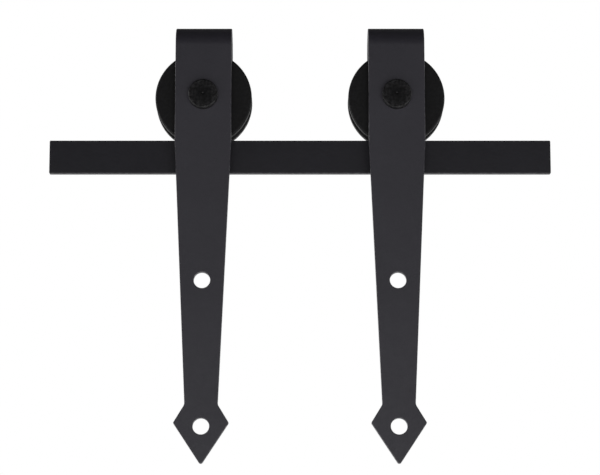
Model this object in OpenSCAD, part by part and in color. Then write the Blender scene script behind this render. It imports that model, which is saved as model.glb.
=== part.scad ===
// Sliding barn door hardware: a flat wall rail, and two arrow straps that hang from grooved wheels.
// Millimetres. +Z is up, +X is to the right along the rail, and +Y points at the wall.
// The origin is midway between the two wall screws, on the wall's face.

/* [Rail] */
// Length of the flat bar
rail_length = 447; // [400:1:1200]
// Height of the flat bar
rail_h = 30; // [28:1:50]
// Thickness of the flat bar
rail_t = 6; // [5:0.5:8]

/* [Wall fixings] */
// Distance from the wall to the back of the bar
standoff = 33; // [32:1:60]
// Outside diameter of the wall spacers
spacer_d = 18; // [14:0.5:19]
// Diameter of the wall screws over their threads
lag_d = 8; // [6:0.5:8]
// Diameter of the wall screws' smooth shanks
lag_shank_d = 7; // [5:0.5:7.5]
// Width across the flats of the wall screws' heads
lag_head_af = 13; // [11:0.5:14]
// Thickness of the wall screws' heads
lag_head_t = 5.5; // [3:0.5:7]
// Length of screw that goes into the wall
lag_bite = 45; // [25:1:80]
// Diameter of the washers under the screw heads
lag_washer_d = 17; // [15:0.5:18]
// Thickness of the washers under the screw heads
lag_washer_t = 1.6; // [1:0.1:2]
// Gap that the wheels' flanges leave as they pass above the spacers and washers
flange_gap = 1.5; // [1:0.5:5]

/* [Strap] */
// Distance between the two hangers, which is also the distance between the wall screws
hanger_pitch = 172; // [150:1:400]
// Width of the strap at the top
strap_w = 50; // [40:1:60]
// Thickness of the strap
strap_t = 6; // [4:0.5:8]
// Height of the bend's centre above the wheel's rim
bend_gap = 3.5; // [2:0.5:20]
// Length below the axle over which the strap keeps its full width
straight_drop = 41; // [25:1:80]
// Depth of the arrow's neck below the axle
neck_drop = 277; // [200:0.5:400]
// Width of the strap at the arrow's neck
neck_w = 29; // [24:1:40]
// Height of the arrow's shoulders, from its neck to its widest point
shoulder_h = 16; // [10:0.5:30]
// Height of the arrow's point, from its widest point to its tip
point_h = 37; // [25:0.5:60]
// Width of the arrow head
arrow_w = 48.5; // [40:0.5:70]
// Diameter of the holes for the door bolts
door_hole_d = 14.5; // [8:0.5:14]
// Depth of the lower door bolt hole below the arrow's widest point
door_hole_sink = 3; // [0:0.5:8]
// Distance between the two door bolt holes
door_hole_pitch = 129; // [80:1:140]

/* [Wheel] */
// Diameter of the tread that rolls on the bar
tread_d = 74; // [60:0.5:100]
// Height of the wheel's flanges above its tread
flange_h = 6; // [4:0.5:9]
// Thickness of the wheel
wheel_w = 24; // [20:1:30]
// Clearance between the bar and each side of the wheel's groove
groove_play = 1; // [0.5:0.1:2]
// How far each side of the groove leans outwards from tread to rim
groove_flare = 1.5; // [0:0.1:2]
// Clearance between the wheel and each leg of the strap
wheel_play = 2; // [1:0.1:4]

/* [Axle] */
// Diameter of the axle bolt
axle_d = 12; // [10:0.5:14]
// Diameter of the axle bolt's round head
axle_head_d = 26; // [22:0.5:32]
// Thickness of the axle bolt's round head
axle_head_t = 7; // [4:0.5:9]
// Width across the flats of the axle nut
axle_nut_af = 18; // [16:0.5:20]
// Thickness of the axle nut, with its locking collar
axle_nut_t = 7; // [6:0.5:8]
// Diameter of the washer under the axle nut
axle_washer_d = 24; // [20:0.5:28]
// Thickness of the washer under the axle nut
axle_washer_t = 1.5; // [1:0.1:2.5]
// Outside diameter of the two bushes beside the bearing
bush_d = 17; // [15.5:0.5:18]

/* [Bearing] */
// Outside diameter of the bearing
bearing_d = 32; // [30:1:36]
// Width of the bearing
bearing_w = 10; // [9:0.5:12]
// Diameter of the balls
ball_d = 6; // [5:0.1:6]
// Number of balls
ball_count = 7; // [5:1:7]
// Thickness of the dust shields
shield_t = 0.5; // [0.4:0.1:0.8]

/* [Hidden] */
$fn = 64;

// Clearances
cut = 1;              // how far a cutting shape runs past the face that it cuts
axle_play = 0.08;     // between the axle and the strap's holes, on the radius
roll_gap = 0.1;       // between the bar's top edge and the wheel's tread
end_play = 0.1;       // between the strap and what turns beside it
bush_play = 0.1;      // between the axle and the bushes, on the radius
screw_play = 0.3;     // between a wall screw and what it passes through, on the radius
ball_play = 0.08;     // between a ball and each race
shield_play = 0.3;    // between a shield and the inner ring
cage_play = 0.7;      // between the cage and each ring, on the radius

// Heights, from the origin on the wall screws' line
rail_top = max(spacer_d, lag_washer_d) / 2 + flange_gap + flange_h;
rail_bottom = rail_top - rail_h;
axle_z = rail_top + tread_d / 2 + roll_gap;
wheel_r = tread_d / 2 + flange_h;

// Heights on the strap, from the axle
bend_rise = wheel_r + bend_gap;
wing_drop = neck_drop + shoulder_h;
lower_hole_drop = wing_drop + door_hole_sink;
upper_hole_drop = lower_hole_drop - door_hole_pitch;

// Depths, from the wall's face
rail_back = -standoff;
rail_front = rail_back - rail_t;
wheel_y = (rail_front + rail_back) / 2;
leg_gap = wheel_w + 2 * wheel_play;
front_leg_back = wheel_y - leg_gap / 2;
front_leg_front = front_leg_back - strap_t;
rear_leg_front = wheel_y + leg_gap / 2;
rear_leg_back = rear_leg_front + strap_t;

// Axle stack, from the middle of the wheel towards the wall
bush_len = (leg_gap - bearing_w) / 2 - end_play;
nut_front = rear_leg_back + end_play + axle_washer_t;
nut_back = nut_front + axle_nut_t;
tail_out = 1.5;       // thread that shows past the nut

// Bearing
pitch_r = (axle_d + bearing_d) / 4;
race_r = ball_d / 2 + ball_play;
shoulder = 0.6 * ball_d / 2;   // half the gap between the rings' shoulders
inner_shoulder_r = pitch_r - shoulder;
outer_shoulder_r = pitch_r + shoulder;
shield_seat = 0.6;    // depth of the step that holds a shield in the outer ring
shield_inset = 0.3;   // how far a shield lies inside the bearing's face
cage_half_w = ball_d / 2 + 0.7;
pocket_play = 0.12;

// Retaining ring
ring_t = 1.2;
ring_depth = 1;       // how deep the ring sits in the wheel's groove
ring_fit = 0.05;      // clearance around the ring in its groove
ring_section = 2.2;   // radial width of the ring
ring_gap = 60;        // angle left open between the ring's ends
lug_r = 1.6;          // radius of the lugs at the ring's ends
bearing_lip = 2;      // radial height of the wheel's lip behind the bearing

// Edges
rim_break = 1.2;      // chamfer on the wheel's rim
head_break = 0.8;     // chamfer on the axle bolt's head
dimple_r = 1.2;       // centre mark in the axle bolt's head
dimple_depth = 0.6;
key_af = 6;           // hexagon socket in the axle bolt's tail
key_depth = 5;
lag_tip = 8;          // length of the wall screw's pointed end
thread_start = 0;     // depth in the wall at which the wall screw's thread starts
tip_r = 0.5;          // radius left at that point
neck_r = 6;           // inside radius at the arrow's neck
wing_r = 1.5;         // radius at the arrow's widest points
point_r = 2;          // radius at the arrow's tip
hex_chamfer = 0.8;    // how far the corners of hexagonal heads and nuts are turned down
collar_t = 1.8;       // height of the axle nut's locking collar

SIDES = [["left", -1], ["right", 1]];

// ---------- helpers ----------

function unit(v) = v / norm(v);

// Points along the arc that rounds corner b, between its neighbours a and c, to radius r
function rounded_corner(a, b, c, r, steps = 8) =
    let (
        u = unit(a - b),
        v = unit(c - b),
        half = acos(u * v) / 2,
        centre = b + unit(u + v) * r / sin(half),
        first = b + u * r / tan(half) - centre,
        last = b + v * r / tan(half) - centre,
        start = atan2(first.y, first.x),
        sweep = (atan2(last.y, last.x) - start + 540) % 360 - 180
    )
    [for (i = [0 : steps]) centre + r * [cos(start + sweep * i / steps), sin(start + sweep * i / steps)]];

// A closed outline from rows of [x, y, corner radius]
function rounded_outline(rows) =
    [for (i = [0 : len(rows) - 1])
        let (
            n = len(rows),
            row = rows[i],
            at = [row.x, row.y],
            before = rows[(i + n - 1) % n],
            after = rows[(i + 1) % n]
        )
        each row[2] > 0
            ? rounded_corner([before.x, before.y], at, [after.x, after.y], row[2])
            : [at]];

// Turns local +Z to +Y, for round pieces whose axis points at the wall
module along_y() {
    rotate([-90, 0, 0]) children();
}

// Moves to a point on a hanger's axle, at depth y
module at_axle(side, y = 0) {
    translate([side * hanger_pitch / 2, y, axle_z]) along_y() children();
}

// Moves to a point on a wall screw's line, at depth y
module at_screw(side, y = 0) {
    translate([side * hanger_pitch / 2, y, 0]) along_y() children();
}

// A flat ring or tube
module tube(outer_r, inner_r, h) {
    difference() {
        cylinder(r = outer_r, h = h);
        translate([0, 0, -cut]) cylinder(r = inner_r, h = h + 2 * cut);
    }
}

// A hexagonal bar of a given width across its flats
module hexagon(af, h) {
    cylinder(r = af / 2 / cos(30), h = h, $fn = 6);
}

// A hexagonal head or nut, its corners turned down at one end, or at both
module turned_hexagon(af, h, ends = [0, 1]) {
    corner_r = af / 2 / cos(30);
    flat_r = corner_r - hex_chamfer;
    first = ends[0] ? [[0, 0], [flat_r, 0], [corner_r, hex_chamfer]] : [[0, 0], [corner_r, 0]];
    last = ends[1] ? [[corner_r, h - hex_chamfer], [flat_r, h], [0, h]] : [[corner_r, h], [0, h]];
    intersection() {
        hexagon(af, h);
        rotate_extrude() polygon(concat(first, last));
    }
}

// ---------- rail ----------

module rail_bar() {
    color("#26262a") difference() {
        translate([-rail_length / 2, rail_front, rail_bottom])
            cube([rail_length, rail_t, rail_h]);
        for (side = [-1, 1])
            at_screw(side, rail_front - cut)
                cylinder(r = lag_d / 2 + screw_play, h = rail_t + 2 * cut);
    }
}

module wall_spacer(side) {
    color("#26262a") at_screw(side, rail_back)
        tube(spacer_d / 2, lag_d / 2 + screw_play, standoff);
}

module lag_washer(side) {
    color("#202024") at_screw(side, rail_front - lag_washer_t)
        tube(lag_washer_d / 2, lag_d / 2 + screw_play, lag_washer_t);
}

module lag_screw(side) {
    head_front = rail_front - lag_washer_t - lag_head_t;
    color("#202024") {
        at_screw(side, head_front) {
            turned_hexagon(lag_head_af, lag_head_t, [1, 0]);
            cylinder(d = lag_shank_d, h = thread_start - head_front);
        }
        at_screw(side, thread_start) cylinder(d = lag_d, h = lag_bite - lag_tip - thread_start);
        at_screw(side, lag_bite - lag_tip) cylinder(r1 = lag_d / 2, r2 = tip_r, h = lag_tip);
    }
}

// ---------- strap ----------

// Outline of the front leg, seen from the front, with the axle at the origin
function front_leg_outline() =
    let (
        right = [
            [strap_w / 2, bend_rise, 0],
            [strap_w / 2, -straight_drop, 0],
            [neck_w / 2, -neck_drop, neck_r],
            [arrow_w / 2, -wing_drop, wing_r]
        ],
        tip = [[0, -wing_drop - point_h, point_r]],
        left = [for (i = [len(right) - 1 : -1 : 0]) [-right[i].x, right[i].y, right[i][2]]]
    )
    rounded_outline(concat(right, tip, left));

// A plate in the XZ plane, whose back face is at depth y
module upright_plate(y) {
    translate([0, y, 0]) rotate([90, 0, 0]) linear_extrude(strap_t) children();
}

module strap_body() {
    upright_plate(front_leg_back) polygon(front_leg_outline());
    // the bend over the wheel
    translate([-strap_w / 2, wheel_y, bend_rise]) rotate([90, 0, 90])
        rotate_extrude(angle = 180)
            translate([leg_gap / 2, 0]) square([strap_t, strap_w]);
    // the short rear leg, rounded about the axle
    upright_plate(rear_leg_back) {
        translate([-strap_w / 2, 0]) square([strap_w, bend_rise]);
        circle(d = strap_w);
    }
}

module strap(side) {
    hole_y = front_leg_front - cut;
    color("#333338") translate([side * hanger_pitch / 2, 0, axle_z]) difference() {
        strap_body();
        translate([0, hole_y, 0]) along_y()
            cylinder(r = axle_d / 2 + axle_play, h = leg_gap + 2 * strap_t + 2 * cut);
        for (drop = [upper_hole_drop, lower_hole_drop])
            translate([0, hole_y, -drop]) along_y()
                cylinder(d = door_hole_d, h = strap_t + 2 * cut);
    }
}

// ---------- axle ----------

module axle_bolt(side) {
    head_back = front_leg_front - end_play;
    shank = nut_back + tail_out - head_back;
    color("#141416") at_axle(side, head_back) difference() {
        union() {
            rotate_extrude() polygon([
                [0, -axle_head_t],
                [axle_head_d / 2 - head_break, -axle_head_t],
                [axle_head_d / 2, -axle_head_t + head_break],
                [axle_head_d / 2, 0],
                [0, 0]
            ]);
            cylinder(d = axle_d, h = shank);
        }
        // the centre mark in the head
        translate([0, 0, -axle_head_t - dimple_depth])
            cylinder(r1 = 2 * dimple_r, r2 = 0, h = 2 * dimple_depth);
        // the socket that holds the bolt while the nut is turned
        translate([0, 0, shank - key_depth]) hexagon(key_af, key_depth + cut);
    }
}

module axle_washer(side) {
    color("#202024") at_axle(side, rear_leg_back + end_play)
        tube(axle_washer_d / 2, axle_d / 2 + bush_play, axle_washer_t);
}

module axle_nut(side) {
    hex_t = axle_nut_t - collar_t;
    color("#202024") at_axle(side, nut_front) difference() {
        union() {
            turned_hexagon(axle_nut_af, hex_t, [1, 1]);
            cylinder(d = (axle_nut_af + axle_d) / 2 + 1, h = axle_nut_t);
        }
        translate([0, 0, -cut]) cylinder(d = axle_d, h = axle_nut_t + 2 * cut);
    }
}

module bush(side, y) {
    color("#8c8c90") at_axle(side, y) tube(bush_d / 2, axle_d / 2 + bush_play, bush_len);
}

// ---------- wheel ----------

// Half section of the wheel as [radius, distance from its middle], positive towards the wall
function wheel_section() =
    let (
        rim = wheel_r,
        tread = tread_d / 2,
        half = wheel_w / 2,
        foot = rail_t / 2 + groove_play,
        mouth = foot + groove_flare,
        seat = bearing_d / 2,
        ring_back = -bearing_w / 2,
        ring_front = ring_back - ring_t - ring_fit
    )
    [
        [seat, -half],
        [rim - rim_break, -half],
        [rim, -half + rim_break],
        [rim, -mouth],
        [tread, -foot],
        [tread, foot],
        [rim, mouth],
        [rim, half - rim_break],
        [rim - rim_break, half],
        [seat - bearing_lip, half],
        [seat - bearing_lip, bearing_w / 2],
        [seat, bearing_w / 2],
        [seat, ring_back],
        [seat + ring_depth + ring_fit, ring_back],
        [seat + ring_depth + ring_fit, ring_front],
        [seat, ring_front]
    ];

module wheel(side) {
    color("#161618") at_axle(side, wheel_y) rotate_extrude() polygon(wheel_section());
}

// A snap ring with its opening at the top, between two lugs with holes for pliers
module retaining_ring(side) {
    outer = bearing_d / 2 + ring_depth;
    inner = outer - ring_section;
    lug_at = outer - lug_r;
    turns = [ring_gap / 2 - 90, -ring_gap / 2 - 90];
    color("#4a4a4e") at_axle(side, wheel_y - bearing_w / 2 - ring_t) difference() {
        union() {
            rotate([0, 0, turns[0]]) rotate_extrude(angle = 360 - ring_gap)
                translate([inner, 0]) square([ring_section, ring_t]);
            for (turn = turns) rotate([0, 0, turn])
                translate([lug_at, 0, 0]) cylinder(r = lug_r, h = ring_t);
        }
        for (turn = turns) rotate([0, 0, turn])
            translate([lug_at, 0, -cut]) cylinder(r = lug_r / 2, h = ring_t + 2 * cut);
    }
}

// ---------- bearing ----------

// Repeats a shape at each ball, the first ball being at the top
module each_ball() {
    for (i = [0 : ball_count - 1])
        rotate([0, 0, i * 360 / ball_count - 90]) children();
}

// The channel that the balls run in
module race() {
    rotate_extrude() translate([pitch_r, 0]) circle(r = race_r);
}

module bearing_inner_ring(side) {
    color("#b4b4b8") at_axle(side, wheel_y) difference() {
        translate([0, 0, -bearing_w / 2]) tube(inner_shoulder_r, axle_d / 2, bearing_w);
        race();
    }
}

module bearing_outer_ring(side) {
    step = shield_inset + shield_t;
    color("#b4b4b8") at_axle(side, wheel_y) difference() {
        translate([0, 0, -bearing_w / 2]) tube(bearing_d / 2, outer_shoulder_r, bearing_w);
        race();
        translate([0, 0, -bearing_w / 2 - cut])
            cylinder(r = outer_shoulder_r + shield_seat, h = step + cut);
        translate([0, 0, bearing_w / 2 - step])
            cylinder(r = outer_shoulder_r + shield_seat, h = step + cut);
    }
}

module bearing_balls(side) {
    color("#d2d2d6") at_axle(side, wheel_y)
        each_ball() translate([pitch_r, 0, 0]) sphere(d = ball_d);
}

module bearing_cage(side) {
    inner = inner_shoulder_r + cage_play;
    outer = outer_shoulder_r - cage_play;
    color("#96784a") at_axle(side, wheel_y) difference() {
        translate([0, 0, -cage_half_w]) tube(outer, inner, 2 * cage_half_w);
        // a round pocket for each ball, bored through the cage's wall
        each_ball() translate([inner - cut, 0, 0]) rotate([0, 90, 0])
            cylinder(r = ball_d / 2 + pocket_play, h = outer - inner + 2 * cut);
    }
}

// end is -1 for the front shield and 1 for the one towards the wall
module bearing_shield(side, end) {
    middle = bearing_w / 2 - shield_inset - shield_t / 2;
    color("#8c8c90") at_axle(side, wheel_y + end * middle - shield_t / 2)
        tube(outer_shoulder_r + shield_seat, inner_shoulder_r + shield_play, shield_t);
}

// ---------- the assembly ----------

rail_bar();

for (s = SIDES) {
    wall_spacer(s[1]);
    lag_screw(s[1]);
    lag_washer(s[1]);
    strap(s[1]);
    axle_bolt(s[1]);
    axle_nut(s[1]);
    axle_washer(s[1]);
    bush(s[1], front_leg_back + end_play);
    bush(s[1], wheel_y + bearing_w / 2);
    wheel(s[1]);
    retaining_ring(s[1]);
    bearing_outer_ring(s[1]);
    bearing_inner_ring(s[1]);
    bearing_cage(s[1]);
    bearing_balls(s[1]);
    bearing_shield(s[1], -1);
    bearing_shield(s[1], 1);
}
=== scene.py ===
"""Looks for the sliding barn door hardware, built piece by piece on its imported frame."""
import math

import bmesh
import bpy
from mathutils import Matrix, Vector
from mathutils.geometry import delaunay_2d_cdt


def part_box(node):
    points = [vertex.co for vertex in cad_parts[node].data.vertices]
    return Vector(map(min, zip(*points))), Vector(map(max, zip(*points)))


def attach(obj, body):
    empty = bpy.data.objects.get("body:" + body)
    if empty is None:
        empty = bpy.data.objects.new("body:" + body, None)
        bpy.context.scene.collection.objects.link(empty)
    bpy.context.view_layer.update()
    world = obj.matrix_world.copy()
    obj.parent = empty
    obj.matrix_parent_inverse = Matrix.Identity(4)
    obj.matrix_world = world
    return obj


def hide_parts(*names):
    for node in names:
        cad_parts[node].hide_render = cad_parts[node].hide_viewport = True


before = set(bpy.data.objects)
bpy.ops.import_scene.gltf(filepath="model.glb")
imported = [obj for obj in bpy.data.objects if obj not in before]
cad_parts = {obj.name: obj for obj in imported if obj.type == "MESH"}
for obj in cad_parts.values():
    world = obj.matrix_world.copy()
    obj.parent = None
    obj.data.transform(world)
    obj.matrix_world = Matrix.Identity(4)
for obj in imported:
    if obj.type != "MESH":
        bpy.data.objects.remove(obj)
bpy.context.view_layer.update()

# ---------------------------------------------------------------- sizes, in metres

MM = 0.001
SIDES = ("left", "right")


def middle(node):
    low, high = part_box(node)
    return (low + high) / 2


rail_low, rail_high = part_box("rail_bar")
RAIL_T = rail_high.y - rail_low.y
RAIL_Y = (rail_low.y + rail_high.y) / 2

axle_low, axle_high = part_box("axle_bolt_right")
AXLE_Z = (axle_low.z + axle_high.z) / 2
AXLE_X = (axle_low.x + axle_high.x) / 2
strap_low, strap_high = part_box("strap_right")
STRAP_W = 50 * MM
STRAP_T = 6 * MM
BEND_R = (strap_high.y - strap_low.y) / 2 - STRAP_T / 2
BEND_RISE = strap_high.z - AXLE_Z - BEND_R - STRAP_T / 2
POINT_R = 2 * MM
NECK_X, NECK_Z = 14.5 * MM, -277 * MM
WING_X, WING_Z = 24.25 * MM, -293 * MM
TIP_Z = -330 * MM
TAPER_Z = -41 * MM
HOLE_R = 7.25 * MM
LOWER_HOLE_Z = -296 * MM
UPPER_HOLE_Z = -167 * MM
AXLE_R = 6 * MM
SHARP = math.radians(38)  # edges that turn by more than this are drawn sharp

# ---------------------------------------------------------------- materials


def node_chain(material):
    """Small helpers that add nodes to a material and join them."""
    tree = material.node_tree
    tree.nodes.clear()

    def add(kind, **settings):
        node = tree.nodes.new(kind)
        for key, value in settings.items():
            setattr(node, key, value)
        return node

    def join(a, b):
        tree.links.new(a, b)

    return add, join


def finish_material(name, dark, light, rough, metallic=0.0, specular=0.5, grain=None, peel=None,
                    rings=None, flecks=0.0, edge_sheen_and_wear=None, patch=14.0, glow=0.0):
    """A procedural surface. Lengths are in metres.

    dark and light are the two tones that it varies between, and rough its least and greatest
    roughness. grain and peel are (size, height) of its fine and coarse relief, rings is
    (pitch, height) of turning marks about the local Y axis, flecks is how much fine specks
    lighten it, and edge_sheen_and_wear is (colour, roughness, amount) of edges painted lighter,
    a painted highlight along them, and rubbed smoother. glow is for a floor lit from within.
    """
    material = bpy.data.materials.new(name)
    material.use_nodes = True
    add, join = node_chain(material)
    out = add("ShaderNodeOutputMaterial")
    shader = add("ShaderNodeBsdfPrincipled")
    join(shader.outputs["BSDF"], out.inputs["Surface"])
    shader.inputs["Metallic"].default_value = metallic
    shader.inputs["Specular IOR Level"].default_value = specular
    if glow:
        shader.inputs["Emission Color"].default_value = (1, 1, 1, 1)
        shader.inputs["Emission Strength"].default_value = glow
    place = add("ShaderNodeTexCoord").outputs["Object"]

    def noise(size, detail=3.0, roughness=0.55):
        node = add("ShaderNodeTexNoise")
        node.inputs["Scale"].default_value = 1 / size
        node.inputs["Detail"].default_value = detail
        node.inputs["Roughness"].default_value = roughness
        join(place, node.inputs["Vector"])
        return node.outputs["Fac"]

    def remap(value, a, b, c, d):
        node = add("ShaderNodeMapRange")
        for key, v in zip(("From Min", "From Max", "To Min", "To Max"), (a, b, c, d)):
            node.inputs[key].default_value = v
        join(value, node.inputs["Value"])
        return node.outputs["Result"]

    def maths(operation, a, b=None):
        node = add("ShaderNodeMath", operation=operation)
        for socket, v in zip(node.inputs, (a, b)):
            if v is None:
                continue
            if isinstance(v, (int, float)):
                socket.default_value = v
            else:
                join(v, socket)
        return node.outputs["Value"]

    # tone: broad patches with fine specks on them
    blend = add("ShaderNodeMix", data_type="RGBA")
    blend.inputs["A"].default_value = (*dark, 1)
    blend.inputs["B"].default_value = (*light, 1)
    fine = noise((grain[0] if grain else 0.5 * MM) * 1.3, 2.0, 0.7)
    tone = remap(noise(1 / patch, 4.0), 0.3, 0.7, 0.0, 1.0)
    if flecks:
        specks = remap(fine, 0.35, 0.7, 0.0, 1.0)
        tone = maths("ADD", maths("MULTIPLY", tone, 1 - flecks), maths("MULTIPLY", specks, flecks))
    join(tone, blend.inputs["Factor"])
    colour = blend.outputs["Result"]
    roughness = remap(maths("ADD", noise(6 * MM, 3.0), fine), 0.7, 1.3, *rough)

    # edges painted lighter, a painted highlight along them, and rubbed a little smoother
    if edge_sheen_and_wear:
        edge = add("ShaderNodeAttribute", attribute_name="edge").outputs["Fac"]
        mask = maths("MULTIPLY", edge, remap(noise(2.5 * MM, 4.0, 0.65), 0.42, 0.62, 0.0, edge_sheen_and_wear[2]))
        sheen_and_rub = add("ShaderNodeMix", data_type="RGBA")
        sheen_and_rub.inputs["B"].default_value = (*edge_sheen_and_wear[0], 1)
        join(mask, sheen_and_rub.inputs["Factor"])
        join(colour, sheen_and_rub.inputs["A"])
        colour = sheen_and_rub.outputs["Result"]
        soft = add("ShaderNodeMix", data_type="FLOAT")
        soft.inputs["B"].default_value = edge_sheen_and_wear[1]
        join(mask, soft.inputs["Factor"])
        join(roughness, soft.inputs["A"])
        roughness = soft.outputs["Result"]
    join(colour, shader.inputs["Base Color"])
    join(roughness, shader.inputs["Roughness"])

    # relief
    normal = None

    def relief(value, height):
        nonlocal normal
        bump = add("ShaderNodeBump")
        bump.inputs["Distance"].default_value = height
        bump.inputs["Strength"].default_value = 1.0
        join(value, bump.inputs["Height"])
        if normal is not None:
            join(normal, bump.inputs["Normal"])
        normal = bump.outputs["Normal"]

    if peel:
        relief(noise(peel[0], 2.0, 0.4), peel[1])
    if grain:
        relief(noise(grain[0], 3.0, 0.6), grain[1])
    if rings:
        parts = add("ShaderNodeSeparateXYZ")
        join(place, parts.inputs["Vector"])
        across = [maths("POWER", parts.outputs[axis], 2.0) for axis in "XZ"]
        radius = maths("SQRT", maths("ADD", *across))
        along = add("ShaderNodeCombineXYZ")
        join(radius, along.inputs["X"])
        join(parts.outputs["Y"], along.inputs["Y"])
        turned = add("ShaderNodeTexNoise")
        turned.inputs["Scale"].default_value = 1 / rings[0]
        turned.inputs["Detail"].default_value = 2.0
        join(along.outputs["Vector"], turned.inputs["Vector"])
        relief(turned.outputs["Fac"], rings[1])
    if normal is not None:
        join(normal, shader.inputs["Normal"])
    return material


# the lighter edge colours below are a painted highlight along edges, mixed with rubbed wear
MATERIALS = {
    "powder_coat": finish_material(
        "powder_coat", (0.0205, 0.0192, 0.0262), (0.0365, 0.0344, 0.0448), (0.48, 0.62), specular=0.5,
        grain=(0.55 * MM, 0.06 * MM), peel=(3.2 * MM, 0.05 * MM), flecks=0.6,
        edge_sheen_and_wear=((0.090, 0.088, 0.098), 0.36, 0.9)),
    "rail_coat": finish_material(
        "rail_coat", (0.0055, 0.0050, 0.0085), (0.0095, 0.0088, 0.0138), (0.42, 0.54), specular=0.42,
        grain=(0.55 * MM, 0.04 * MM), peel=(3.6 * MM, 0.05 * MM), flecks=0.5,
        edge_sheen_and_wear=((0.050, 0.049, 0.055), 0.36, 0.7)),
    "wheel_coat": finish_material(
        "wheel_coat", (0.0016, 0.0015, 0.0018), (0.0036, 0.0035, 0.0040), (0.55, 0.66), specular=0.25,
        grain=(0.3 * MM, 0.002 * MM), rings=(0.7 * MM, 0.004 * MM), flecks=0.1,
        edge_sheen_and_wear=((0.010, 0.010, 0.011), 0.5, 0.6)),
    "black_steel": finish_material(
        "black_steel", (0.0020, 0.0019, 0.0023), (0.0038, 0.0037, 0.0042), (0.30, 0.40), specular=0.26,
        grain=(0.35 * MM, 0.003 * MM), rings=(0.6 * MM, 0.005 * MM), flecks=0.2,
        edge_sheen_and_wear=((0.045, 0.044, 0.046), 0.3, 0.7)),
    "plated_steel": finish_material(
        "plated_steel", (0.42, 0.43, 0.45), (0.60, 0.60, 0.58), (0.28, 0.44), metallic=1.0,
        grain=(0.4 * MM, 0.004 * MM), rings=(0.3 * MM, 0.010 * MM), flecks=0.3),
    "bearing_steel": finish_material(
        "bearing_steel", (0.52, 0.53, 0.55), (0.64, 0.64, 0.65), (0.18, 0.30), metallic=1.0,
        rings=(0.12 * MM, 0.004 * MM), flecks=0.2),
    "ball_steel": finish_material(
        "ball_steel", (0.66, 0.67, 0.70), (0.74, 0.74, 0.76), (0.04, 0.09), metallic=1.0,
        grain=(0.4 * MM, 0.0006 * MM), flecks=0.2),
    "spring_steel": finish_material(
        "spring_steel", (0.08, 0.08, 0.085), (0.15, 0.145, 0.14), (0.34, 0.5), metallic=0.8,
        grain=(0.3 * MM, 0.006 * MM), flecks=0.4),
    "nylon": finish_material(
        "nylon", (0.62, 0.62, 0.58), (0.72, 0.72, 0.68), (0.42, 0.55), specular=0.45,
        grain=(0.4 * MM, 0.006 * MM), rings=(0.4 * MM, 0.010 * MM), flecks=0.2),
    "floor": finish_material(
        "floor", (0.80, 0.80, 0.79), (0.83, 0.83, 0.82), (0.75, 0.85), specular=0.2,
        grain=(4 * MM, 0.05 * MM), flecks=0.2, patch=2.0, glow=0.50),
}

# ---------------------------------------------------------------- mesh helpers


def arc_corner(a, b, c, radius, steps=6):
    """Points on the arc that rounds corner b."""
    u, v = (a - b).normalized(), (c - b).normalized()
    turn = math.acos(max(-1.0, min(1.0, u.dot(v))))
    if radius <= 0 or turn > math.pi - 1e-4:
        return [b]
    reach = radius / math.tan(turn / 2)
    reach = min(reach, (a - b).length * 0.49, (c - b).length * 0.49)
    radius = reach * math.tan(turn / 2)
    centre = b + (u + v).normalized() * (radius / math.sin(turn / 2))
    first, last = b + u * reach - centre, b + v * reach - centre
    start = math.atan2(first.y, first.x)
    sweep = (math.atan2(last.y, last.x) - start + 3 * math.pi) % (2 * math.pi) - math.pi
    angles = [start + sweep * i / steps for i in range(steps + 1)]
    return [centre + Vector((math.cos(a), math.sin(a))) * radius for a in angles]


def rounded(rows, closed=True, steps=6):
    """An outline from rows of (x, y, corner radius)."""
    points = [Vector(row[:2]) for row in rows]
    out = []
    for i, row in enumerate(rows):
        if not closed and i in (0, len(rows) - 1):
            out.append(points[i])
            continue
        out += arc_corner(points[i - 1], points[i], points[(i + 1) % len(rows)], row[2], steps)
    return out


def circle(x, y, radius, count=64):
    angles = [2 * math.pi * i / count for i in range(count)]
    return [Vector((x + radius * math.cos(a), y + radius * math.sin(a))) for a in angles]


def piece(name, verts, faces, body, material, replaces=(), slot=None, centre=(0, 0, 0), edge=None):
    """Makes an object from a mesh given about its own centre, and has it ride on its body.

    edge is a value for each vertex: 1 where edges get a painted highlight and may be rubbed.
    """
    mesh = bpy.data.meshes.new(name)
    mesh.from_pydata([tuple(v) for v in verts], [], faces)
    if edge is not None:
        layer = mesh.attributes.new("edge", "FLOAT", "POINT")
        layer.data.foreach_set("value", edge)
    bm = bmesh.new()
    bm.from_mesh(mesh)
    bmesh.ops.remove_doubles(bm, verts=bm.verts, dist=1e-7)
    bmesh.ops.dissolve_degenerate(bm, edges=bm.edges, dist=1e-8)
    bmesh.ops.recalc_face_normals(bm, faces=bm.faces)
    for e in bm.edges:
        e.smooth = not (len(e.link_faces) == 2 and e.calc_face_angle(0) > SHARP)
    for f in bm.faces:
        f.smooth = True
    bm.to_mesh(mesh)
    bm.free()
    obj = bpy.data.objects.new(name, mesh)
    bpy.context.scene.collection.objects.link(obj)
    obj.location = centre
    mesh.materials.append(MATERIALS[material])
    weighted = obj.modifiers.new("weighted", "WEIGHTED_NORMAL")
    weighted.keep_sharp = True
    weighted.weight = 60
    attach(obj, body)
    if replaces:
        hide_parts(*replaces)
    if slot or replaces:
        slot or material
    return obj


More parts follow.
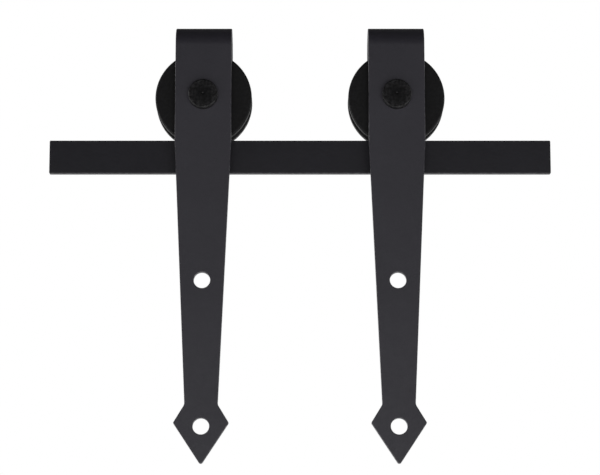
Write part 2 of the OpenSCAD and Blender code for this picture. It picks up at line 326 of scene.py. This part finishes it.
def lathe(profile, closed=True, count=96):
    """Turns a profile of (radius, y) about the local Y axis. Returns vertices and faces."""
    verts, faces, rings = [], [], []
    angles = [2 * math.pi * i / count for i in range(count)]
    for p in profile:
        if p.x < 1e-7:
            rings.append([len(verts)] * count)
            verts.append(Vector((0, p.y, 0)))
            continue
        rings.append(list(range(len(verts), len(verts) + count)))
        verts += [Vector((p.x * math.cos(a), p.y, p.x * math.sin(a))) for a in angles]
    for a, b in zip(rings, rings[1:] + rings[:1] if closed else rings[1:]):
        for i in range(count):
            j = (i + 1) % count
            face = []
            for v in (a[i], a[j], b[j], b[i]):
                if v not in face:
                    face.append(v)
            if len(face) > 2:
                faces.append(face)
    return verts, faces


def corner_mask(profile, sections):
    """1 where a profile point lies near one of the corners (radius, y, reach), for painted edge highlights and
    rubbed edges.
    """
    return [float(any(abs(p.x - r) < reach and abs(p.y - y) < reach for r, y, reach in sections))
            for p in profile]


def turned(name, rows, body, material, node, centre, count=96, steps=5, slot=None):
    """A turned piece from rows of (radius, y, corner radius), in metres, about its own centre."""
    profile = rounded(rows, True, steps)
    verts, faces = lathe(profile, True, count)
    spots = [(r, y, 1.2 * f) for r, y, f in rows if f > 0]
    mask = [value for value in corner_mask(profile, spots) for _ in range(count)]
    return piece(name, verts, faces, body, material, (node,) if node else (), slot, centre, mask)


def inside(point, loop):
    hit = False
    for a, b in zip(loop, loop[1:] + loop[:1]):
        if (a.y > point.y) != (b.y > point.y):
            if point.x < (b.x - a.x) * (point.y - a.y) / (b.y - a.y) + a.x:
                hit = not hit
    return hit


def inset(loop, distance):
    """Moves each point of a loop to its left, by distance."""
    out = []
    for before, at, after in zip(loop[-1:] + loop[:-1], loop, loop[1:] + loop[:1]):
        d1, d2 = (at - before).normalized(), (after - at).normalized()
        n1, n2 = Vector((-d1.y, d1.x)), Vector((-d2.y, d2.x))
        n = (n1 + n2).normalized()
        out.append(at + n * (distance / max(0.5, n.dot(n1))))
    return out


def plate(outer, holes, thickness, edge_r, place, rows=(), hole_edge=None, steps=4):
    """A plate with rounded edges and holes, laid out flat and then put in place.

    outer runs anticlockwise. holes are anticlockwise too. place(x, s, n) gives the point at
    x, s and height n. rows are pairs of outer's indices that are joined straight across.
    """
    verts, faces, mask, tops, bottoms = [], [], [], [], []
    for k, loop in enumerate([outer, *[h[::-1] for h in holes]]):
        r = edge_r if k == 0 else (hole_edge or edge_r)
        rings = []
        levels = [(r * (1 - math.cos(a)), thickness / 2 - r + r * math.sin(a))
                  for a in (math.pi / 2 * i / steps for i in range(steps + 1))]
        levels = [(d, -h) for d, h in levels[::-1]] + levels
        for d, h in levels:
            ring = inset(loop, d)
            rings.append((len(verts), ring))
            verts += [place(p.x, p.y, h) for p in ring]
            mask += [1.0 if d < r * 0.95 and abs(h) > thickness / 2 - r * 1.01 else 0.0] * len(ring)
        for (a, ring), (b, _) in zip(rings, rings[1:]):
            n = len(ring)
            faces += [(a + i, a + (i + 1) % n, b + (i + 1) % n, b + i) for i in range(n)]
        bottoms.append(rings[0])
        tops.append(rings[-1])
    for ends in (tops, bottoms):
        flat, edges, ids = [], [], []
        for k, (start, ring) in enumerate(ends):
            base = len(flat)
            flat += ring
            ids += range(start, start + len(ring))
            edges += [(base + i, base + (i + 1) % len(ring)) for i in range(len(ring))]
        edges += [tuple(pair) for pair in rows]
        points, _, triangles, origin, _, _ = delaunay_2d_cdt(flat, edges, [], 0, 1e-8)
        bounds = [ring for _, ring in ends]
        for t in triangles:
            c = sum((points[i] for i in t), Vector((0, 0))) / 3
            if inside(c, bounds[0]) and not any(inside(c, b) for b in bounds[1:]):
                faces.append([ids[origin[i][0]] for i in t])
    return verts, faces, mask


def hexagon(af, height, bore=0.0, ends=(True, True), corner=0.5 * MM, chamfer=0.8 * MM, steps=4):
    """A hexagonal head or nut along local +Y, its corners turned down at either end."""
    reach = af / 2 / math.cos(math.pi / 6)
    raw = [(reach * math.cos(math.pi / 3 * i), reach * math.sin(math.pi / 3 * i), corner) for i in range(6)]
    outline = []
    corners = rounded(raw, True, 3)
    for a, b in zip(corners, corners[1:] + corners[:1]):
        parts = 8 if (b - a).length > af * 0.2 else 1
        outline += [a + (b - a) * i / parts for i in range(parts)]
    n = len(outline)
    flat_r = reach - chamfer
    verts, faces, rings = [], [], []

    def ring(points, ys):
        rings.append(len(verts))
        verts.extend(Vector((p.x, y, p.y)) for p, y in zip(points, ys))

    def lid(y, sign, turned_end):
        """The rings of one end, from its middle outwards."""
        out = [([p.normalized() * max(bore, 1e-4) for p in outline], [y] * n)]
        if turned_end:
            out.append(([p.normalized() * flat_r for p in outline], [y] * n))
            for i in range(1, steps + 1):
                pts = [p.normalized() * (flat_r + (p.length - flat_r) * i / steps) for p in outline]
                out.append((pts, [y - sign * max(0.0, q.length - flat_r) for q in pts]))
        else:
            out.append((outline, [y] * n))
        return out

    low = lid(0.0, -1, ends[0])
    high = lid(height, 1, ends[1])
    for pts, ys in low + high[::-1]:
        ring(pts, ys)
    for a, b in zip(rings, rings[1:] + rings[:1] if bore else rings[1:]):
        faces += [(a + i, a + (i + 1) % n, b + (i + 1) % n, b + i) for i in range(n)]
    if not bore:
        faces += [list(range(rings[0], rings[0] + n)), list(range(rings[-1], rings[-1] + n))]
    return verts, faces


def threaded(rows, pitch, starts, count=48, per_turn=12):
    """A shaft along +Y with a thread. rows are (y, crest radius, root radius), in order.

    starts is the pair of heights between which the thread has its full depth.
    """
    y0, y1 = rows[0][0], rows[-1][0]
    steps = max(2, round((y1 - y0) / pitch * per_turn))
    verts, faces, rings = [], [], []
    for k in range(steps + 1):
        y = y0 + (y1 - y0) * k / steps
        for (ya, ca, ra), (yb, cb, rb) in zip(rows, rows[1:]):
            if y <= yb + 1e-12:
                t = (y - ya) / (yb - ya)
                crest, root = ca + (cb - ca) * t, ra + (rb - ra) * t
                break
        depth = min(1.0, max(0.0, (y - starts[0]) / pitch + 1), max(0.0, (starts[1] - y) / pitch + 1))
        rings.append(len(verts))
        for i in range(count):
            a = 2 * math.pi * i / count
            f = (y / pitch - i / count) % 1.0
            tooth = min(1.0, max(0.0, 1.6 - 4 * abs(f - 0.5)))
            r = crest - (crest - root) * (1 - tooth) * depth
            verts.append(Vector((r * math.cos(a), y, r * math.sin(a))))
    for a, b in zip(rings, rings[1:]):
        faces += [(a + i, a + (i + 1) % count, b + (i + 1) % count, b + i) for i in range(count)]
    faces += [list(range(rings[0], rings[0] + count)), list(range(rings[-1], rings[-1] + count))]
    return verts, faces


def shifted(mesh, offset):
    verts, faces = mesh
    return [v + Vector(offset) for v in verts], faces


def merged(*meshes):
    verts, faces = [], []
    for v, f in meshes:
        base = len(verts)
        verts += v
        faces += [[i + base for i in face] for face in f]
    return verts, faces


# ---------------------------------------------------------------- rail and wall fixings

SCREW_X = middle("lag_screw_right").x
HEAD_T = 5.5 * MM
LAG_R = 4 * MM
SCREW_HOLE_R = LAG_R + 0.3 * MM


def build_rail():
    hx, low, high = (rail_high.x - rail_low.x) / 2, rail_low.z, rail_high.z
    corners = ((-hx, low), (hx, low), (hx, high), (-hx, high))
    outline = rounded([(x, z, 1.1 * MM) for x, z in corners], True, 4)
    holes = [circle(d * SCREW_X, 0, SCREW_HOLE_R, 48) for d in (-1, 1)]
    verts, faces, mask = plate(outline, holes, RAIL_T, 0.6 * MM,
                               lambda x, s, n: Vector((x, RAIL_Y - n, s)), hole_edge=0.3 * MM)
    piece("flat_rail", verts, faces, "rail", "rail_coat", ["rail_bar"], "powder_coat", edge=mask)


def build_fixings(side):
    node = f"wall_spacer_{side}"
    low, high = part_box(node)
    c, half = (low + high) / 2, (high.y - low.y) / 2
    outer, bore = 9 * MM, SCREW_HOLE_R
    turned(f"spacer_{side}", [
        (bore, -half, 0.3 * MM), (outer, -half, 0.7 * MM), (outer, half, 0.7 * MM), (bore, half, 0.3 * MM)],
        "rail", "rail_coat", node, c, slot="powder_coat")
    node = f"lag_washer_{side}"
    low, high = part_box(node)
    c, half = (low + high) / 2, (high.y - low.y) / 2
    outer = 8.5 * MM
    turned(f"screw_washer_{side}", [
        (bore, -half, 0.2 * MM), (outer, -half, 0.5 * MM), (outer, half, 0.25 * MM), (bore, half, 0.15 * MM)],
        "rail", "black_steel", node, c)
    node = f"lag_screw_{side}"
    low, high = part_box(node)
    length = high.y - low.y
    head = hexagon(13 * MM, HEAD_T, 0, (True, False))
    wall, shank_r, tip, pitch = -low.y, 3.5 * MM, 8 * MM, 3.2 * MM
    shank = threaded(
        [(HEAD_T * 0.5, shank_r, shank_r), (wall, shank_r, shank_r), (wall + 0.4 * MM, LAG_R, 2.95 * MM),
         (length - tip, LAG_R, 2.9 * MM), (length - 0.02 * MM, 0.5 * MM, 0.2 * MM)],
        pitch, (wall, length))
    verts, faces = merged(head, shank)
    piece(f"wall_screw_{side}", verts, faces, "rail", "black_steel", [node],
          centre=((low.x + high.x) / 2, low.y, (low.z + high.z) / 2))


# ---------------------------------------------------------------- hanger


def build_strap(side):
    node = f"strap_{side}"
    low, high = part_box(node)
    x = (low.x + high.x) / 2
    y = (low.y + high.y) / 2
    rise, arc = BEND_RISE, math.pi * BEND_R
    half = STRAP_W / 2
    # the right-hand edge, from the tip up the front leg, over the bend and round the rear leg's end
    front = [(-WING_X, WING_Z, 0), (0, TIP_Z, POINT_R), (WING_X, WING_Z, 1.5 * MM), (NECK_X, NECK_Z, 6 * MM),
             (half, TAPER_Z, 0), (half, rise, 0), (half, rise + arc, 0)]
    leg = [p for p in rounded(front, False, 8) if p.x > -1e-9 and p.y < rise - 1e-6]
    bend_rows = 28
    bend = [Vector((half, rise + arc * i / bend_rows)) for i in range(bend_rows + 1)]
    rear = [Vector((half * math.cos(a), 2 * rise + arc + half * math.sin(a)))
            for a in (math.pi / 2 * i / 24 for i in range(25))]
    right_side = leg + bend + rear
    right_side[0].x = right_side[-1].x = 0.0
    outline = right_side + [Vector((-p.x, p.y)) for p in right_side[1:-1]][::-1]
    rows = [(i, len(outline) - i) for i in range(len(leg), len(leg) + len(bend))]

    def place(u, s, n):
        if s <= rise:
            return Vector((u, -(BEND_R + n), s))
        if s >= rise + arc:
            return Vector((u, BEND_R + n, 2 * rise + arc - s))
        a = (s - rise) / BEND_R
        return Vector((u, -(BEND_R + n) * math.cos(a), rise + (BEND_R + n) * math.sin(a)))

    holes = [circle(0, LOWER_HOLE_Z, HOLE_R), circle(0, UPPER_HOLE_Z, HOLE_R),
             circle(0, 0, AXLE_R + 0.08 * MM), circle(0, 2 * rise + arc, AXLE_R + 0.08 * MM)]
    verts, faces, mask = plate(outline, holes, STRAP_T, 0.7 * MM, place, rows, hole_edge=0.45 * MM)
    piece(f"arrow_strap_{side}", verts, faces, f"strap_{side}", "powder_coat", [node],
          centre=(x, y, AXLE_Z), edge=mask)


def build_wheel(side):
    node = f"wheel_{side}"
    c = middle(node)
    c = Vector((c.x, c.y, AXLE_Z))
    rim, tread, half, seat = 43 * MM, 37 * MM, 12 * MM, 16 * MM
    foot, mouth, cut = 4 * MM, 5.5 * MM, 1.2 * MM
    rows = [
        (seat, -half, 0.5 * MM),
        (rim - cut, -half, 0.5 * MM), (rim, -half + cut, 0.5 * MM), (rim, -mouth, 0.6 * MM),
        (tread, -foot, 0.5 * MM), (tread, foot, 0.5 * MM),
        (rim, mouth, 0.6 * MM), (rim, half - cut, 0.5 * MM), (rim - cut, half, 0.5 * MM),
        (14 * MM, half, 0.4 * MM), (14 * MM, 5 * MM, 0.1 * MM), (seat, 5 * MM, 0.1 * MM),
        (seat, -5 * MM, 0.05 * MM), (17.05 * MM, -5 * MM, 0.05 * MM), (17.05 * MM, -6.25 * MM, 0.05 * MM),
        (seat, -6.25 * MM, 0.05 * MM),
    ]
    profile = rounded(rows, True, 5)
    verts, faces = lathe(profile, True, 128)
    marks = [spot for sign in (-1, 1) for spot in (
        (rim - 0.6 * MM, sign * (half - 0.6 * MM), 1.1 * MM), (rim, sign * mouth, 0.9 * MM))]
    mask = [value for value in corner_mask(profile, marks) for _ in range(128)]
    piece(f"grooved_wheel_{side}", verts, faces, f"wheel_{side}", "wheel_coat", [node], centre=c, edge=mask)

    # snap ring
    low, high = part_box(f"retaining_ring_{side}")
    outer, inner, lug = 17 * MM, 14.8 * MM, 1.6 * MM
    at = outer - lug
    beta = math.acos((at * at + lug * lug - inner * inner) / (2 * at * lug))
    delta = math.asin(lug * math.sin(beta) / inner)
    up, gap = math.pi / 2, math.radians(30)
    loop = []
    for i in range(73):
        a = up + gap + (2 * math.pi - 2 * gap) * i / 72
        loop.append(Vector((outer * math.cos(a), outer * math.sin(a))))
    end = up - gap
    centre = Vector((at * math.cos(end), at * math.sin(end)))
    for i in range(1, 17):
        a = end + (math.pi + beta) * i / 16
        loop.append(centre + Vector((lug * math.cos(a), lug * math.sin(a))))
    for i in range(1, 72):
        a = end - delta - (2 * math.pi - 2 * gap - 2 * delta) * i / 72
        loop.append(Vector((inner * math.cos(a), inner * math.sin(a))))
    end = up + gap
    centre2 = Vector((at * math.cos(end), at * math.sin(end)))
    for i in range(0, 16):
        a = end + math.pi - beta + (math.pi + beta) * i / 16
        loop.append(centre2 + Vector((lug * math.cos(a), lug * math.sin(a))))
    holes = [circle(centre.x, centre.y, lug / 2, 20), circle(centre2.x, centre2.y, lug / 2, 20)]
    verts, faces, mask = plate(loop, holes, 1.2 * MM, 0.15 * MM,
                               lambda x, s, n: Vector((x, -n, s)), steps=2)
    piece(f"snap_ring_{side}", verts, faces, f"wheel_{side}", "spring_steel", [f"retaining_ring_{side}"],
          centre=(c.x, (low.y + high.y) / 2, AXLE_Z), edge=mask)

    # dust shields, each pressed with a shallow step
    for word, sign in (("front", -1), ("rear", 1)):
        low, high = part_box(f"{word}_shield_{side}")
        t = (high.y - low.y) / 2
        outer, inner, step = 13.4 * MM, 9.5 * MM, 0.2 * MM
        rows = [(inner, sign * t, 0.08 * MM), (inner, -sign * (t - step), 0.08 * MM),
                (11.2 * MM, -sign * (t - step), 0.1 * MM), (11.6 * MM, -sign * t, 0.1 * MM),
                (outer, -sign * t, 0.1 * MM), (outer, sign * t, 0.1 * MM)]
        turned(f"{word}_dust_shield_{side}", rows, f"wheel_{side}", "plated_steel", f"{word}_shield_{side}",
               (c.x, (low.y + high.y) / 2, AXLE_Z), steps=3)


def build_axle(side):
    body = f"axle_{side}"
    node = f"axle_bolt_{side}"
    low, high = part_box(node)
    c = Vector(((low.x + high.x) / 2, low.y, AXLE_Z))
    length = high.y - low.y
    head_r, head_t = 13 * MM, 7 * MM
    thread_from = length - 13 * MM
    rows = [
        (0, 0.6 * MM, 0), (0.35 * MM, 0.45 * MM, 0.1 * MM), (1.25 * MM, 0, 0.15 * MM),
        (head_r - 0.9 * MM, 0, 0.35 * MM), (head_r, 0.9 * MM, 0.35 * MM), (head_r, head_t, 0.25 * MM),
        (AXLE_R, head_t, 0.2 * MM), (AXLE_R, thread_from, 0),
    ]
    profile = rounded(rows, False, 5)
    verts, faces = lathe(profile, False, 96)
    # the threaded tail, with its hexagon socket
    pitch, root = 1.75 * MM, 5.05 * MM
    n, steps = 96, 88
    base = len(verts) - n
    ring = base
    for k in range(1, steps + 1):
        y = thread_from + (length - thread_from) * k / steps
        chamfer = max(0.0, y - (length - 0.8 * MM))
        depth = min(1.0, (y - thread_from) / pitch)
        start = len(verts)
        for i in range(n):
            a = 2 * math.pi * i / n
            f = (y / pitch - i / n) % 1.0
            tooth = min(1.0, max(0.0, 1.7 - 4 * abs(f - 0.5)))
            r = min(AXLE_R - (AXLE_R - root) * (1 - tooth) * depth, AXLE_R - chamfer)
            verts.append(Vector((r * math.cos(a), y, r * math.sin(a))))
        faces += [(ring + i, ring + (i + 1) % n, start + (i + 1) % n, start + i) for i in range(n)]
        ring = start
    socket = ((4.0 * MM, length, False), (3.3 * MM, length - 0.35 * MM, True), (3.0 * MM, length - 5 * MM, True))
    for reach, y, hexed in socket:
        start = len(verts)
        for i in range(n):
            a = 2 * math.pi * i / n
            r = reach / math.cos((a % (math.pi / 3)) - math.pi / 6) if hexed else reach
            verts.append(Vector((r * math.cos(a), y, r * math.sin(a))))
        faces += [(ring + i, ring + (i + 1) % n, start + (i + 1) % n, start + i) for i in range(n)]
        ring = start
    start = len(verts)
    verts.append(Vector((0, length - 6.2 * MM, 0)))
    faces += [(ring + i, ring + (i + 1) % n, start) for i in range(n)]
    rim = 1.5 * MM
    mask = [float(abs(math.hypot(v.x, v.z) - head_r) < rim and v.y < rim) for v in verts]
    piece(f"axle_{side}_bolt", verts, faces, body, "black_steel", [node], centre=c, edge=mask)

    # locking nut: hexagon, collar and nylon ring
    node = f"axle_nut_{side}"
    low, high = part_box(node)
    hex_t = (high.y - low.y) - 1.8 * MM
    nut = hexagon(18 * MM, hex_t, AXLE_R - 0.3 * MM, (True, True))
    collar = lathe(rounded([
        (6.9 * MM, 0, 0), (7.95 * MM, 0, 0), (7.95 * MM, 1.1 * MM, 0.7 * MM), (7.1 * MM, 1.78 * MM, 0.25 * MM),
        (6.5 * MM, 1.45 * MM, 0.1 * MM), (6.9 * MM, 1.0 * MM, 0.1 * MM)], True, 4))
    verts, faces = merged(nut, shifted(collar, (0, hex_t - 0.05 * MM, 0)))
    piece(f"lock_nut_{side}", verts, faces, body, "black_steel", [node], centre=(c.x, low.y, AXLE_Z))
    inner, outer = AXLE_R - 0.25 * MM, 6.95 * MM
    turned(f"nut_insert_{side}", [
        (inner, 0, 0.1 * MM), (outer, 0, 0.1 * MM), (outer, 1.25 * MM, 0.3 * MM), (inner, 1.35 * MM, 0.2 * MM)],
        body, "nylon", None, (c.x, low.y + hex_t + 0.02 * MM, AXLE_Z), steps=3)

    node = f"axle_washer_{side}"
    low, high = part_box(node)
    half, bore, outer = (high.y - low.y) / 2, AXLE_R + 0.1 * MM, 12 * MM
    turned(f"nut_washer_{side}", [
        (bore, -half, 0.15 * MM), (outer, -half, 0.25 * MM), (outer, half, 0.5 * MM), (bore, half, 0.25 * MM)],
        body, "black_steel", node, (c.x, (low.y + high.y) / 2, AXLE_Z))
    for word in ("front", "rear"):
        node = f"{word}_bush_{side}"
        low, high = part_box(node)
        half, outer = (high.y - low.y) / 2, 8.5 * MM
        turned(f"{word}_sleeve_{side}", [
            (bore, -half, 0.3 * MM), (outer, -half, 0.5 * MM), (outer, half, 0.5 * MM), (bore, half, 0.3 * MM)],
            body, "plated_steel", node, (c.x, (low.y + high.y) / 2, AXLE_Z))


build_rail()
for side in SIDES:
    build_fixings(side)
    build_strap(side)
    build_wheel(side)
    build_axle(side)

# bearing parts keep their CAD shapes, and take their finishes here
BEARING_FINISHES = {
    "bearing_outer_ring": "bearing_steel", "bearing_inner_ring": "bearing_steel",
    "bearing_cage": "plated_steel", "bearing_balls": "ball_steel",
}
for name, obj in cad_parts.items():
    for part, material in BEARING_FINISHES.items():
        if name.startswith(part):
            for s in obj.material_slots:
                s.material = MATERIALS[material]

# ---------------------------------------------------------------- floor, light and camera

floor_mesh = bpy.data.meshes.new("floor")
FLOOR_HALF, FLOOR_Z = 9, -1.25
corners = [(x * FLOOR_HALF, y * FLOOR_HALF, 0) for x, y in ((-1, -1), (1, -1), (1, 1), (-1, 1))]
floor_mesh.from_pydata(corners, [], [(0, 1, 2, 3)])
floor_mesh.materials.append(MATERIALS["floor"])
floor = bpy.data.objects.new("floor", floor_mesh)
floor.location = (0, 0, FLOOR_Z)
bpy.context.scene.collection.objects.link(floor)


def softbox(name, place, target, width, height, power):
    light = bpy.data.lights.new(name, "AREA")
    light.shape = "RECTANGLE"
    light.size, light.size_y = width, height
    light.energy = power
    obj = bpy.data.objects.new(name, light)
    obj.location = place
    obj.rotation_euler = (Vector(target) - Vector(place)).to_track_quat("-Z", "Y").to_euler()
    bpy.context.scene.collection.objects.link(obj)
    return obj


softbox("front_box", (0.25, -2.6, -0.75), (0, 0, -0.1), 2.2, 1.0, 19)
softbox("left_box", (-2.0, 0.9, 0.1), (0, 0, -0.1), 0.9, 2.0, 26)
softbox("right_box", (2.0, 0.9, 0.1), (0, 0, -0.1), 0.9, 2.0, 12)

# the room around is bright behind the row and dim in front of it
world = bpy.data.worlds.new("studio")
bpy.context.scene.world = world
world.use_nodes = True
tree = world.node_tree
tree.nodes.clear()
out = tree.nodes.new("ShaderNodeOutputWorld")
both = tree.nodes.new("ShaderNodeMixShader")
path = tree.nodes.new("ShaderNodeLightPath")
seen = tree.nodes.new("ShaderNodeBackground")
lit = tree.nodes.new("ShaderNodeBackground")
seen.inputs["Color"].default_value = (1, 1, 1, 1)
seen.inputs["Strength"].default_value = 1.0
lit.inputs["Color"].default_value = (1.0, 0.99, 1.0, 1)
toward = tree.nodes.new("ShaderNodeTexCoord")
axes = tree.nodes.new("ShaderNodeSeparateXYZ")
fall = tree.nodes.new("ShaderNodeMapRange")
fall.interpolation_type = "SMOOTHSTEP"
for key, v in (("From Min", -0.1), ("From Max", 0.8), ("To Min", 0.09), ("To Max", 0.9)):
    fall.inputs[key].default_value = v
tree.links.new(toward.outputs["Generated"], axes.inputs["Vector"])
tree.links.new(axes.outputs["Y"], fall.inputs["Value"])
above = tree.nodes.new("ShaderNodeMapRange")
above.interpolation_type = "SMOOTHSTEP"
for key, v in (("From Min", 0.15), ("From Max", 0.75), ("To Min", 1.0), ("To Max", 0.22)):
    above.inputs[key].default_value = v
total = tree.nodes.new("ShaderNodeMath")
total.operation = "MULTIPLY"
tree.links.new(axes.outputs["Z"], above.inputs["Value"])
tree.links.new(fall.outputs["Result"], total.inputs[0])
tree.links.new(above.outputs["Result"], total.inputs[1])
tree.links.new(total.outputs["Value"], lit.inputs["Strength"])
tree.links.new(path.outputs["Is Camera Ray"], both.inputs["Fac"])
tree.links.new(lit.outputs["Background"], both.inputs[1])
tree.links.new(seen.outputs["Background"], both.inputs[2])
tree.links.new(both.outputs["Shader"], out.inputs["Surface"])

bpy.context.scene.view_settings.view_transform = "Standard"

camera = bpy.data.objects.new("camera", bpy.data.cameras.new("camera"))
camera.data.lens = 139.5
camera.data.sensor_width = 36.0
camera.data.shift_y = 0.13
camera.data.clip_start, camera.data.clip_end = 0.05, 40.0
# level with the gap between the hangers, 2 m in front and below them, and tilted up by 10 degrees
DISTANCE, BELOW_AXLE, TILT = 2.0, 0.5514, math.radians(10)
camera.location = (0.0, strap_low.y - DISTANCE, AXLE_Z - BELOW_AXLE)
camera.rotation_euler = (math.pi / 2 + TILT, 0, 0)
bpy.context.scene.collection.objects.link(camera)
bpy.context.scene.camera = camera
